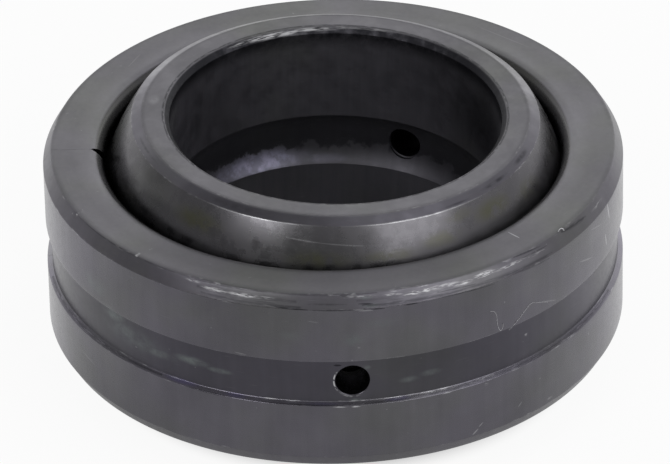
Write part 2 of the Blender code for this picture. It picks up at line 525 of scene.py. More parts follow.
class Recipe:
    """Adds nodes to one node tree and joins them up."""

    def __init__(self, tree):
        self.tree = tree

    def feed(self, socket, value):
        if isinstance(value, Wire):
            self.tree.links.new(value.socket, socket)
        else:
            socket.default_value = value

    def node(self, kind, inputs=(), **settings):
        made = self.tree.nodes.new(kind)
        for name, value in settings.items():
            setattr(made, name, value)
        for key, value in dict(inputs).items():
            self.feed(made.inputs[key], value)
        return made

    def wire(self, kind, output, inputs=(), **settings):
        """One output of a new node."""
        return Wire(self, self.node(kind, inputs, **settings).outputs[output])

    def wires(self, kind):
        """All outputs of a new node, by name."""
        return {socket.name: Wire(self, socket) for socket in self.node(kind).outputs}

    def calc(self, operation, *values, clamp=False):
        return self.wire("ShaderNodeMath", 0, enumerate(values), operation=operation, use_clamp=clamp)

    def highest(self, *values):
        top = values[0]
        for value in values[1:]:
            top = self.calc("MAXIMUM", top, value)
        return top

    def vector(self, operation, *values):
        output = "Value" if operation in ("LENGTH", "DOT_PRODUCT", "DISTANCE") else "Vector"
        return self.wire("ShaderNodeVectorMath", output, enumerate(values), operation=operation)

    def stretched(self, vector, factor):
        return self.wire("ShaderNodeVectorMath", 0, {0: vector, "Scale": factor}, operation="SCALE")

    def combine(self, x, y, z):
        return self.wire("ShaderNodeCombineXYZ", 0, {0: x, 1: y, 2: z})

    def split(self, vector):
        """The three parts of a vector."""
        return [Wire(self, socket) for socket in self.node("ShaderNodeSeparateXYZ", {0: vector}).outputs]

    def mix(self, factor, first, second, blend="MIX"):
        """One colour into another by the factor."""
        inputs = {0: factor, 6: opaque(first), 7: opaque(second)}
        return self.wire("ShaderNodeMix", 2, inputs, data_type="RGBA", blend_type=blend)

    def tint(self, factor, first, second):
        return self.mix(factor, first, second, "MULTIPLY")

    def layers(self, colour, *layers):
        """Lays one colour after another over the first, each by its own factor."""
        for factor, laid in layers:
            colour = self.mix(factor, colour, laid)
        return colour

    def cloud(self, place, scale, detail=3.0, roughness=0.5, w=None):
        """Soft noise from 0 to 1, about 0.5 on average."""
        inputs = {"Vector": place, "Scale": scale, "Detail": detail, "Roughness": roughness}
        if w is not None:
            inputs["W"] = w
        return self.wire("ShaderNodeTexNoise", "Fac", inputs, noise_dimensions="3D" if w is None else "4D")


def new_material(name, **constants):
    """A material with the given constants on its shader's own sockets."""
    material = bpy.data.materials.new(name)
    material.use_nodes = True
    shader = material.node_tree.nodes["Principled BSDF"]
    for key, value in constants.items():
        shader.inputs[key.replace("_", " ")].default_value = value
    return material, Recipe(material.node_tree), shader


def opaque(colour):
    """A colour with its alpha, or the wire that it comes by."""
    return colour if isinstance(colour, Wire) else (*colour[:3], 1.0)


def mark_group(name, inputs):
    """A new node group that gives the mask of a mark, and its inputs by name. A width is a plain number."""
    group = bpy.data.node_groups.new(name, "ShaderNodeTree")
    for key in inputs:
        kind = "NodeSocketFloat" if key == "Width" else "NodeSocketVector"
        group.interface.new_socket(key, in_out="INPUT", socket_type=kind)
    group.interface.new_socket("Mask", in_out="OUTPUT", socket_type="NodeSocketFloat")
    recipe = Recipe(group)
    return recipe, recipe.wires("NodeGroupInput")


def scratch_group():
    """Mask of one straight scratch between two places, thinner towards its ends."""
    recipe, given = mark_group("scratch", ("Place", "Start", "End", "Width"))
    along = recipe.vector("SUBTRACT", given["End"], given["Start"])
    reach = recipe.vector("SUBTRACT", given["Place"], given["Start"])
    travelled = recipe.vector("DOT_PRODUCT", reach, along)
    whole = recipe.vector("DOT_PRODUCT", along, along)
    share = recipe.calc("DIVIDE", travelled, whole, clamp=True)
    away = recipe.vector("DISTANCE", reach, recipe.stretched(along, share))
    middle = recipe.calc("ABSOLUTE", share - 0.5)
    taper = given["Width"] * middle.between(0.2, 0.5, 1.0, 0.35)
    recipe.node("NodeGroupOutput", {"Mask": recipe.calc("SUBTRACT", 1.0, away / taper, clamp=True)})
    return recipe.tree


def spot_group():
    """Mask of one soft oval spot round a place."""
    recipe, given = mark_group("spot", ("Place", "Centre", "Reach"))
    away = recipe.vector("DIVIDE", recipe.vector("SUBTRACT", given["Place"], given["Centre"]), given["Reach"])
    recipe.node("NodeGroupOutput", {"Mask": recipe.vector("LENGTH", away).fade(1.0, 0.15)})
    return recipe.tree


class RingPlaces:
    """Where a shaded point is in its ring: x, y, height, radius and front angle, in millimetres and degrees."""

    def __init__(self, recipe, tilt):
        self.recipe = recipe
        millimetres = recipe.stretched(recipe.wire("ShaderNodeTexCoord", "Object"), 1 / MM)
        inputs = {"Vector": millimetres, "Angle": -tilt}
        self.point = recipe.wire("ShaderNodeVectorRotate", 0, inputs, rotation_type="Y_AXIS")
        self.x, self.y, self.height = recipe.split(self.point)
        self.flat = recipe.combine(self.x, self.y, 0.0)
        self.radius = recipe.vector("LENGTH", self.flat)
        self.tall = recipe.calc("ABSOLUTE", self.height)
        self.along, self.across = self.x / self.radius, self.y / self.radius
        self.angle = recipe.calc("DEGREES", recipe.calc("ARCTAN2", self.x, self.y * -1.0))
        self.back_angle = recipe.calc("DEGREES", recipe.calc("ARCTAN2", self.x * -1.0, self.y))

    def unrolled(self, angle, radius):
        """Arc length from where the angle is 0, and height, for marks on the sides."""
        return self.recipe.combine(angle * math.radians(radius), self.height, 0.0)

    def fanned(self, angle, radius):
        """Arc length from where the angle is 0, and radius, for marks on faces and chamfers."""
        return self.recipe.combine(angle * math.radians(radius), self.radius, 0.0)

    def lathe_marks(self, fineness, round_scale, detail=2.0):
        """Noise drawn out round the axis, as a lathe or a grinding wheel leaves it."""
        place = self.recipe.combine(self.radius * fineness, self.height * fineness, self.along * round_scale)
        return self.recipe.cloud(place, 1.0, detail, 0.55, w=self.across * round_scale)

    def upright_streaks(self, round_scale, height_scale):
        """Noise drawn out along the axis, as drips and handling leave it."""
        place = self.recipe.combine(self.along * round_scale, self.height * height_scale, 0.0)
        return self.recipe.cloud(place, 1.0, 3.0, 0.55, w=self.across * round_scale)

    def corner(self, radius, height, width, both=True):
        """1 on a profile corner, on both sides of the middle or on one, fading out over the width."""
        up = (self.tall if both else self.height) - height
        away = self.recipe.vector("LENGTH", self.recipe.combine(self.radius - radius, up, 0.0))
        return away.fade(width, width * 0.15)

    def hole_rim(self, front_angle, radius, rim_radius, width):
        """The rim of an oil hole in the side, and how far to the right and up each point of it is."""
        recipe = self.recipe
        centre = (math.radians(front_angle) * radius, 0.0, 0.0)
        off = recipe.vector("SUBTRACT", self.unrolled(self.angle, radius), centre)
        beside = recipe.calc("ABSOLUTE", recipe.vector("LENGTH", off) - rim_radius)
        right, up, _ = recipe.split(recipe.vector("NORMALIZE", off))
        return beside.fade(width, width * 0.3), right, up


# Height on the outer ring's side between its two steels, and how far marks near it reach into both
OUTER_BORDER = 4.5
BORDER_OVERLAP = 0.2

# Radii at which the marks on each surface are laid out
OUTSIDE_RADIUS = 17.5
BALL_RADIUS = 13.0
FACE_RADIUS = 12.0
BORE_EDGE_RADIUS = 10.2
BORE_RADIUS = 10.4
# At this radius a degree is as long as a millimetre
FLAT_RADIUS = math.degrees(1)

# A scratch is the angle and height of both its ends, its width and its strength. A spot is the angle and height
# of its centre, its reach round and up, and its strength. On faces and chamfers the radius takes the height's
# place. Angles are in degrees and lengths in millimetres.

# Fine light scratches on the outer ring's side
SIDE_SCRATCHES = [
    (27.8, -5.05, 29, -4.75, 0.07, 0.45), (29.2, -4.62, 30.1, -4.4, 0.06, 0.35),
    (38.5, -4.3, 39.4, -4.05, 0.05, 0.3), (-4.6, 4.4, -2.6, 4.3, 0.05, 0.16),
    (-19.2, 1.72, -16.9, 1.66, 0.05, 0.25), (5.2, 5.05, 7.9, 5.02, 0.06, 0.35), (69.4, 5.1, 70.6, 3.9, 0.1, 0.6),
    (68.2, 3.2, 69, 2.3, 0.09, 0.45), (57, 3.2, 61.5, 2.75, 0.07, 0.22), (61.5, 4.7, 66, 4.3, 0.06, 0.18),
    (44.7, 2.3, 49, 1.8, 0.06, 0.18), (-60, -3.1, -55, -3.35, 0.05, 0.16), (110, 3, 121, 2.2, 0.06, 0.3),
    (142, -3.8, 149, -2.6, 0.06, 0.25), (-112, 4, -104, 3.1, 0.06, 0.25), (-160, -2.4, -152, -4.2, 0.07, 0.3),
]
# Where bare steel shows in flakes along the outer ring's upper chamfer and its groove's lower edge
SIDE_FLAKES = [
    (-28.3, 5.8, 0.65, 0.1, 0.55), (-23.4, 5.62, 1.1, 0.13, 0.9), (-17.3, 5.62, 1.3, 0.13, 1),
    (-12.6, 5.64, 0.7, 0.1, 0.4), (5.2, 5.8, 1.4, 0.1, 0.4), (12, 5.74, 0.9, 0.1, 0.45), (16, 5.66, 0.75, 0.14, 1),
    (18.8, 5.68, 0.4, 0.14, 0.95), (22.4, 5.7, 1.4, 0.16, 0.6), (26.6, 5.6, 0.9, 0.14, 0.7),
    (31.5, 5.7, 0.95, 0.2, 1), (37.5, 5.66, 1.6, 0.14, 0.6), (44, 5.6, 1.4, 0.08, 0.35),
    (-62.7, 5.92, 0.16, 0.12, 0.9), (-42.5, 5.97, 0.16, 0.1, 1), (66, 5.6, 1, 0.12, 0.3), (128, 5.6, 2, 0.16, 0.6),
    (-135, 5.65, 1.6, 0.14, 0.6), (-33, -1.4, 1.1, 0.05, 0.25), (-12.6, -1.4, 0.6, 0.07, 0.75),
    (-8, -1.4, 0.6, 0.06, 0.65), (1.4, -1.61, 0.6, 0.07, 0.8), (4.3, -1.62, 0.36, 0.08, 1),
    (4.6, -1.4, 0.7, 0.06, 0.5), (12, -1.42, 1.5, 0.06, 0.5), (20.5, -1.42, 2.1, 0.06, 0.6),
    (22.5, -1.6, 0.6, 0.06, 0.6), (30, -1.45, 1.4, 0.06, 0.45), (31, -1.78, 0.2, 0.12, 0.6),
    (41.5, 0.29, 0.16, 0.18, 0.55), (28.3, 1.5, 0.4, 0.06, 0.45), (37, 1.4, 0.2, 0.14, 0.45),
    (-17.7, 1.56, 0.35, 0.06, 0.4), (47, -4.85, 0.3, 0.12, 0.35), (75, -4.7, 0.3, 0.3, 0.4),
    (53, -1.55, 1, 0.07, 0.4),
]
# Dark lines and blots where soot and oil sit in the chamfer and at the groove, and broad bands of painted shade
# low on the chamfer where the lamps glint
SIDE_LINES_AND_SHADE = [
    (-62, 5.92, -27, 5.93, 0.05, 0.35), (-28, 5.9, -12, 5.92, 0.07, 0.65), (-12, 5.92, 9, 5.92, 0.07, 0.55),
    (2, 5.84, 5.4, 5.82, 0.06, 0.75), (-20, 5.42, -11, 5.4, 0.1, 0.55), (-11.5, 5.24, -4.6, 5.16, 0.07, 0.85),
    (-4.6, 5.46, 3, 5.44, 0.07, 0.45), (-3.6, 5.14, 4.6, 5.12, 0.06, 0.7), (5.2, 5.42, 8, 5.38, 0.08, 1),
    (5.4, 5.13, 6.6, 5.14, 0.07, 1), (7.6, 5.1, 10.2, 5.08, 0.07, 0.85), (14, 5.12, 16.8, 5.12, 0.07, 0.9),
    (10.5, 5.5, 14, 5.46, 0.05, 0.45), (17.5, 5.5, 29, 5.38, 0.06, 0.7), (20, 5.2, 33, 5.04, 0.06, 0.55),
    (31, 5.36, 37, 5.22, 0.1, 0.5), (37, 5.2, 47, 5.02, 0.13, 0.45), (38.8, 5.95, 46, 5.86, 0.06, 0.7),
    (40.5, 5.74, 47.5, 5.7, 0.05, 0.6), (52.5, 5.84, 61, 5.66, 0.14, 0.65), (-26, 5.34, -6, 5.28, 0.17, 0.55),
    (-27, 5.6, -7, 5.56, 0.34, 0.42), (5, 5.6, 24, 5.54, 0.3, 0.26), (6, 5.32, 26, 5.28, 0.17, 0.6),
    (26, 5.3, 48, 5.24, 0.15, 0.5), (0.2, 1.12, 1.6, 1.1, 0.1, 0.95), (-30, -1.56, -20, -1.56, 0.06, 0.7),
    (-14, -1.53, 2, -1.53, 0.05, 0.65), (6, -1.5, 16, -1.5, 0.05, 0.55), (24, -1.38, 58, -1.4, 0.07, 0.35),
    (-80, -1.47, -36, -1.47, 0.14, 0.6), (19, -1.49, 72, -1.47, 0.13, 0.52),
]
# Painted sheen on the side: brighter at its left and right, and where the lamps glint on the chamfer
SIDE_SHEEN = [
    (-88, 5.2, 5, 1.6, 0.12), (88, 5.2, 5, 1.6, 0.14), (40, 5.55, 3.6, 0.4, 0.05), (20, 5.6, 2.4, 0.3, 0.04),
    (64, 4.1, 2.2, 0.8, 0.03), (74, 2.9, 1.6, 0.9, 0.04),
]
# Scratches on the outer ring's upper face, as x and y of both ends, width and strength
FACE_SCRATCHES = [
    (10.4, -10.55, 11.05, -11.2, 0.06, 0.75), (-12.6, 9.1, -11.9, 10.6, 0.05, 0.14),
    (9.1, 13.2, 12, 10.8, 0.05, 0.14),
]
# Smears of dried oil in the groove and on the side
SIDE_SMEARS = [
    (-49.5, 1.1, 1.3, 0.8, 0.85), (-46, 0.3, 1.6, 0.7, 0.6), (-41.9, 0, 1.8, 0.5, 0.5), (-44, 0.1, 3.6, 1, 0.4),
    (-37, -0.15, 1.8, 0.42, 0.6), (6.6, 0.88, 0.34, 0.2, 0.75), (4.2, -1.34, 0.5, 0.12, 0.8),
    (-29, 0.15, 1.6, 0.4, 0.95), (-23, -0.05, 1.1, 0.26, 0.8), (-54, 2.6, 1.6, 0.9, 0.45),
    (6.7, 5.72, 0.55, 0.16, 0.95), (7.6, 5.3, 0.8, 0.16, 0.55), (15, -0.3, 0.8, 0.28, 0.6),
    (19.5, -0.1, 0.9, 0.3, 0.5), (4, 3.05, 0.8, 0.6, 0.55), (-8, 3.3, 0.9, 0.5, 0.3), (9.5, 4.1, 1.2, 0.4, 0.3),
    (96, 0.2, 2.2, 0.7, 0.6), (-130, -0.2, 2.6, 0.6, 0.6),
]
# Violet temper colour on the groove's lower flank
FLANK_VIOLET = [
    (-31.5, -1.44, 1.6, 0.12, 0.95), (-19.5, -1.46, 1, 0.1, 0.75), (12.5, -1.46, 1.1, 0.09, 0.7),
    (-2, -1.48, 1.4, 0.08, 0.4),
]
# Scratches and oil film on the ball
BALL_SCRATCHES = [(-12.8, 6.95, -3.8, 6.8, 0.05, 0.32), (-3.8, 6.8, 8.4, 6.62, 0.05, 0.24)]
BALL_STAINS = [
    (-39, 6.6, 2.4, 0.9, 0.85), (-4, 5.9, 2.6, 0.7, 0.8), (14, 5.95, 2.4, 0.5, 0.55), (29, 6.3, 1.8, 0.6, 0.5),
    (36, 7.2, 1.4, 0.5, 0.4), (47, 6.8, 2.2, 0.8, 0.75), (62, 6.4, 2, 0.9, 0.45), (150, 5, 5, 1.6, 0.6),
    (-120, 4, 5, 1.6, 0.6),
]
# Painted highlights on the ball's upper edge, and dark blots, painted shade and painted sheen on the inner ring's
# chamfer
BALL_EDGE_LIGHT = [(-23, 12.31, 4.6, 0.12, 1), (24, 12.31, 5.4, 0.12, 1)]
CHAMFER_BLOTS_AND_SHADE = [
    (52, 12.05, 1.6, 0.16, 0.7), (68, 12, 1.5, 0.2, 0.8), (-70, 12, 2, 0.1, 0.6), (36, 12.15, 1.4, 0.1, 0.5),
    (-30, 12, 2.8, 0.36, 0.36),
]
CHAMFER_SHEEN = [(-118, 12, 3.6, 0.7, 0.18), (112, 12, 4.6, 0.7, 0.11), (-72, 12, 2.4, 0.6, 0.05)]
# Bright patches on the inner ring's upper face
FACE_PATCHES = [(-97, 11.05, 0.8, 0.45, 0.55), (22, 11.1, 1.2, 0.4, 0.2)]
# From here on the angle is from the back: the bore's upper edge, the painted shade on the chamfer above it, violet
# temper colour with a painted highlight low in the bore's groove, and painted shade on the bore's right
BORE_EDGE_FLAKES = [
    (22, 10.16, 3, 0.16, 1), (9, 10.2, 2.2, 0.13, 0.75), (33, 10.18, 1.6, 0.11, 0.55), (-3, 10.26, 1.6, 0.09, 0.35),
    (-13, 10.28, 1.6, 0.08, 0.35),
]
CHAMFER_SHADE = [(0, 12, 6, 0.6, 0.45)]
GROOVE_TEMPER_AND_HIGHLIGHT = [(29, -1.2, 4.2, 1, 1), (3, -1.45, 1.6, 0.4, 0.3)]
BORE_SHADE = [(-66, 4.4, 5, 3.2, 0.7)]


def strongest(recipe, group, place, marks, radius):
    """The mask of the strongest of several marks. The group draws all of them as scratches or as spots."""
    top = 0.0
    for angle, height, *rest, strength in marks:
        first = (math.radians(angle) * radius, height, 0)
        if len(rest) == 3:
            end = (math.radians(rest[0]) * radius, rest[1], 0)
            inputs = {"Place": place, "Start": first, "End": end, "Width": rest[2]}
        else:
            inputs = {"Place": place, "Centre": first, "Reach": (*rest, 1)}
        mask = recipe.wire("ShaderNodeGroup", 0, inputs, node_tree=group)
        top = recipe.highest(mask * strength, top)
    return top


def height_span(mark):
    """The lowest and the highest place of a scratch or of a spot."""
    if len(mark) == 6:
        return min(mark[1], mark[3]), max(mark[1], mark[3])
    return mark[1] - mark[3], mark[1] + mark[3]


def settle(recipe, shader, places, colour, roughness, grain):
    """Joins the colour and the roughness to the shader, with a fine relief of lathe marks and grain."""
    recipe.feed(shader.inputs["Base Color"], colour)
    recipe.feed(shader.inputs["Roughness"], roughness)
    relief = (places.lathe_marks(11.0, 5.0) + grain) * 0.5
    inputs = {"Height": relief, "Strength": 1.0, "Distance": RELIEF_DEPTH * MM}
    recipe.feed(shader.inputs["Normal"], recipe.wire("ShaderNodeBump", 0, inputs))


def mottled(recipe, places, colour, strength):
    """Gives a steel tone its cloudy light and dark, with a green and a violet cast in turn."""
    broad = recipe.cloud(places.point, 0.22, 4.0, 0.55).between(0.25, 0.75, 1.0 - strength, 1.0 + strength)
    toned = recipe.tint(1.0, colour, broad.grey())
    elsewhere = recipe.vector("ADD", places.point, (31.0, 7.0, 13.0))
    cast = recipe.cloud(elsewhere, 0.16, 3.0).fade(0.28, 0.60)
    return recipe.tint(1.0, toned, recipe.mix(cast, (0.990, 1.004, 0.975), (1.004, 0.984, 1.055)))


def outer_ring_steel(finish, tilt, scratch, spot, above):
    """Blackened steel of the outer ring: ground faces and outside, turned groove, worn edges.

    The ring has this steel twice, above and below the border, each with the marks that lie there.
    """
    name = "upper_ring_steel" if above else "lower_ring_steel"
    material, recipe, shader = new_material(name, Metallic=1.0)
    places = RingPlaces(recipe, tilt)
    point, tall, radius = places.point, places.tall, places.radius
    side = places.unrolled(places.angle, OUTSIDE_RADIUS)
    outside = radius.fade(16.6, 16.95)

    def on_side(group, marks):
        """The strongest of those marks on the side that lie on this steel."""
        if above:
            near = [mark for mark in marks if height_span(mark)[1] > OUTER_BORDER - BORDER_OVERLAP]
        else:
            near = [mark for mark in marks if height_span(mark)[0] < OUTER_BORDER + BORDER_OVERLAP]
        return strongest(recipe, group, side, near, OUTSIDE_RADIUS)

    by_the_mouth = tall.fade(5.86, 5.95) * radius.fade(16.0, 15.5)
    on_face = recipe.highest(tall.fade(5.93, 5.995), by_the_mouth)
    on_chamfer = tall.fade(5.10, 5.18) * outside
    in_groove = tall.fade(1.50, 1.42) * outside
    on_flank = tall.fade(1.36, 1.41) * tall.fade(1.60, 1.55) * outside
    on_race = tall.fade(5.94, 5.86) * radius.fade(15.3, 14.9)
    colour = recipe.layers(
        finish.land,
        (on_chamfer, finish.chamfer),
        (on_face, finish.face),
        (in_groove, finish.groove),
        (on_flank, finish.flank),
        (on_race, finish.race),
    )
    colour = mottled(recipe, places, colour, 0.13)
    # Painted light: the upper face is lightened towards the race's mouth, against the shade that falls there, and a
    # touch darker further out
    colour = recipe.tint(on_face, colour, radius.between(15.7, 14.8, 0.98, 1.15).grey())
    streaks = places.upright_streaks(24.0, 0.10).between(0.3, 0.7, 0.95, 1.05)
    colour = recipe.tint(recipe.calc("SUBTRACT", outside, on_face, clamp=True), colour, streaks.grey())

    # Dried oil lies in clouds, and soot and painted shade in broken lines drawn out round the axis
    cloudy = recipe.cloud(side, 1.5, 4.0, 0.62).between(0.34, 0.60, 0.22, 1.0)
    broken = places.lathe_marks(16.0, 30.0, 3.0).fade(0.32, 0.50)
    colour = recipe.layers(
        colour,
        (on_side(spot, SIDE_SMEARS) * (cloudy * outside), finish.stain),
        (on_side(spot, FLANK_VIOLET) * outside, finish.violet),
        (on_side(scratch, SIDE_LINES_AND_SHADE) * (broken * outside), finish.soot_and_shade),
    )

    # Bare steel shows in flakes, on rubbed edges, in scratches and specks; painted highlights lie on the oil hole's
    # left and lower rim, and painted sheen on the side
    flaky = places.lathe_marks(17.0, 40.0, 4.0).fade(0.43, 0.60)
    flakes = on_side(spot, SIDE_FLAKES) * (flaky * outside)
    edges = recipe.highest(
        places.corner(17.02, 5.96, 0.16),
        places.corner(17.5, 5.15, 0.10),
        places.corner(17.5, 1.55, 0.07),
        places.corner(17.18, -1.40, 0.06, both=False),
    )
    patchy = recipe.cloud(point, 0.55, 3.0, 0.6).fade(0.48, 0.66)
    # Painted highlight on the oil hole's rim, on its left and lower side only
    rim, right, up = places.hole_rim(OUTER_HOLE_ANGLE, 17.2, 1.11, 0.06)
    below = up.fade(-0.60, -0.92) * right.fade(0.50, 0.10)
    highlit_side = recipe.highest(right.fade(-0.76, -0.93), below * 0.30)
    highlit_side = highlit_side * recipe.cloud(side, 3.6, 2.0).fade(0.40, 0.54)
    rim = rim * highlit_side * places.y.fade(-10.0, -12.0) * radius.fade(16.8, 17.0)
    bare_and_highlit = recipe.highest(
        edges * patchy * places.lathe_marks(9.0, 34.0).fade(0.48, 0.70) * 0.40,
        on_side(scratch, SIDE_SCRATCHES) * outside,
        strongest(recipe, scratch, places.flat, FACE_SCRATCHES, FLAT_RADIUS) * on_face,
        places.lathe_marks(16.0, 10.0).fade(0.66, 0.80) * 0.08,
        recipe.cloud(point, 3.4, 1.0).fade(0.78, 0.82) * 0.16,
        flakes,
        rim,
        # Painted sheen on the side
        on_side(spot, SIDE_SHEEN) * outside,
    )
    colour = recipe.mix(bare_and_highlit, colour, finish.bright)

    grain = recipe.cloud(point, 3.2, 4.0, 0.6)
    roughness = grain.between(0.3, 0.7, 0.22, 0.29)
    bright = recipe.highest(flakes, rim)
    for part, rougher in ((on_face, 0.26), (on_chamfer, 0.12), (in_groove, 0.06), (bright, 0.22)):
        roughness = part.scaled(rougher, roughness)
    settle(recipe, shader, places, colour, roughness, grain)
    return material


def inner_ring_steel(finish, scratch, spot):
    """Dark steel of the inner ring: ground faces, polished ball, turned bore and its groove."""
    material, recipe, shader = new_material("dark_ball_steel", Metallic=1.0)
    places = RingPlaces(recipe, 0.0)
    point, tall, radius = places.point, places.tall, places.radius
    side, by_back = places.unrolled(places.angle, BALL_RADIUS), places.unrolled(places.back_angle, BORE_RADIUS)
    face, back = places.fanned(places.angle, FACE_RADIUS), places.fanned(places.back_angle, BORE_EDGE_RADIUS)

    def drawn(place, marks, round_radius, group=spot):
        return strongest(recipe, group, place, marks, round_radius)

    on_face = tall.fade(7.93, 7.995)
    on_ball = radius.fade(11.9, 12.3)
    on_chamfer = tall.fade(7.64, 7.70) * radius.fade(11.4, 11.6)
    in_bore = radius.fade(10.75, 10.68) * tall.fade(7.99, 7.90)
    in_groove = tall.fade(1.82, 1.70) * in_bore
    colour = recipe.layers(
        finish.ball, (in_bore, finish.bore), (on_chamfer, finish.ball_chamfer), (on_face, finish.face)
    )
    colour = mottled(recipe, places, colour, 0.15)
    streaks = places.upright_streaks(30.0, 0.15).between(0.3, 0.7, 0.93, 1.07)
    colour = recipe.tint(in_bore, colour, streaks.grey())

    # Oil film and painted shade on the ball; in the bore, painted shade, a darker band at each end,
    # and violet temper colour with a painted highlight low in its groove
    cloudy = recipe.cloud(point, 0.9, 4.0, 0.6).fade(0.30, 0.62)
    # Painted shade low on the ball's left side
    ball_low_left_shade = places.height.fade(6.9, 6.2) * places.along.fade(-0.55, -0.85)
    ragged = recipe.cloud(point, 1.3, 5.0, 0.58)
    # Painted shade on the upper half of the bore's groove, with a ragged edge
    groove_upper_shade = recipe.highest(ragged.scaled(2.0, places.height).fade(0.10, 0.60), 0.32)
    # Violet temper colour with a painted highlight low in the bore's groove
    temper_and_highlight = drawn(by_back, GROOVE_TEMPER_AND_HIGHLIGHT, BORE_RADIUS) * in_groove * groove_upper_shade.fade(0.9, 0.3)
    by_the_sides = recipe.calc("ABSOLUTE", places.along).fade(0.45, 0.80)
    dull = recipe.highest(cloudy.between(0.0, 1.0, 0.35, 1.0), by_the_sides)
    colour = recipe.layers(
        colour,
        (drawn(side, BALL_STAINS, BALL_RADIUS) * on_ball * cloudy, finish.film),
        (ball_low_left_shade * on_ball * 0.42, finish.soot_and_shade),
        (groove_upper_shade * in_groove * 0.72, finish.soot_and_shade),
        (temper_and_highlight * ragged.between(0.40, 0.54, 1.0, 0.50), finish.temper_and_highlight),
        # Painted shade on the right of the bore
        (drawn(by_back, BORE_SHADE, BORE_RADIUS) * in_bore, finish.soot_and_shade),
        # The bore is darkened towards both of its ends, in clouds, and fully at its sides
        (tall.fade(6.5, 7.6) * in_bore * dull * 0.97, finish.soot_and_shade),
    )

    # Dark lip of the bore, dark blots with painted shade on the chamfer, and painted shade at its back
    lip = places.corner(10.40, 8.0, 0.11) * places.lathe_marks(10.0, 22.0, 3.0).fade(0.34, 0.54)
    blots_and_shade = drawn(face, CHAMFER_BLOTS_AND_SHADE, FACE_RADIUS) * on_chamfer
    shade = drawn(back, CHAMFER_SHADE, BORE_EDGE_RADIUS) * on_chamfer
    colour = recipe.mix(recipe.highest(lip * 0.62, blots_and_shade * cloudy, shade), colour, finish.soot_and_shade)

    # Bare steel shows on rubbed edges, in scratches and swivel marks, and in flakes at the bore's upper edge;
    # painted highlights lie along the ball's edge, and painted sheen on the chamfer's sides
    flaky = places.lathe_marks(14.0, 15.0, 4.0).fade(0.38, 0.60)
    bore_edge = drawn(back, BORE_EDGE_FLAKES, BORE_EDGE_RADIUS) * flaky
    bore_edge = bore_edge * places.height.fade(7.45, 7.65)
    ball_edge = places.corner(12.305, 7.67, 0.07)
    edges = recipe.highest(ball_edge, places.corner(11.64, 8.0, 0.07))
    patchy = recipe.cloud(point, 0.6, 3.0, 0.6).fade(0.42, 0.62)
    lit = drawn(face, BALL_EDGE_LIGHT, FACE_RADIUS)
    patches = drawn(face, FACE_PATCHES, FACE_RADIUS) * cloudy * on_face
    bare_and_highlit = recipe.highest(
        edges * patchy * places.lathe_marks(9.0, 30.0).fade(0.46, 0.68) * 0.26,
        drawn(side, BALL_SCRATCHES, BALL_RADIUS, scratch) * on_ball,
        places.lathe_marks(14.0, 12.0).fade(0.62, 0.80) * 0.07,
        bore_edge,
        # Painted highlight where the lamps glint on the ball's edge
        ball_edge * lit * flaky.between(0.0, 1.0, 0.25, 0.62),
        # Painted sheen on the chamfer's sides
        drawn(face, CHAMFER_SHEEN, FACE_RADIUS) * on_chamfer,
        patches * 0.4,
    )
    colour = recipe.mix(bare_and_highlit, colour, finish.bright)

    grain = recipe.cloud(point, 2.6, 4.0, 0.6)
    roughness = (grain + cloudy).between(0.4, 1.5, 0.19, 0.31)
    greasy = places.height.fade(6.5, 5.8) * places.along.fade(0.20, 0.45) * on_ball
    parts = ((greasy, 0.16), (on_face, 0.28), (in_bore, 0.22), (on_chamfer, 0.10), (bore_edge, 0.20))
    for part, rougher in parts:
        roughness = part.scaled(rougher, roughness)
    recipe.feed(shader.inputs["Metallic"], in_bore.scaled(-0.12, 1.0))
    settle(recipe, shader, places, colour, roughness, grain)
    return material


def lint_fibre(finish):
    """Pale matt fibre, a little mottled."""
    material, recipe, shader = new_material("pale_fibre", Roughness=0.7)
    shade = recipe.cloud(recipe.wire("ShaderNodeTexCoord", "Object"), 4000.0).between(0.3, 0.7, 0.75, 1.1)
    recipe.feed(shader.inputs["Base Color"], recipe.tint(1.0, finish.lint, shade.grey()))
    return material


# ---- Operators ----


class BEARING_OT_outer_ring(bpy.types.Operator):
    """Turn the cracked outer ring, and blacken and wear its steel."""

    bl_idname = "bearing.outer_ring"
    bl_label = "Outer ring"

    def execute(self, context):
        sizes, finish = context.scene.bearing_sizes, context.scene.bearing_finish
        ring = turned("outer_ring_turned", fine_profile(outer_profile(sizes)), sizes.turn_steps)
        race = (sizes.ball_diameter / 2 + sizes.running_gap) / MM
        groove_floor = sizes.outer_diameter / 2 / MM - GROOVE_DEPTH
        cutters = [
            oil_drill(sizes, OUTER_HOLE_ANGLE, race, groove_floor, OUTER_HOLE_FLARE),
            notch_broach(NOTCH_TIP_RADIUS, NOTCH_FLANK, CRACK_ANGLE),
            crack_blade(CRACK_FROM, CRACK_TO, CRACK_ANGLE, CRACK_OPENING),
        ]
        cut_away(ring, cutters)
        scratch, spot = scratch_group(), spot_group()
        lower = outer_ring_steel(finish, sizes.rest_tilt, scratch, spot, above=False)
        upper = outer_ring_steel(finish, sizes.rest_tilt, scratch, spot, above=True)
        finish_ring(ring, OUTER_NICKS, sizes.rest_tilt, (lower, upper), OUTER_BORDER)
        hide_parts("outer_ring")
        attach(ring, "outer_ring")
        return {"FINISHED"}


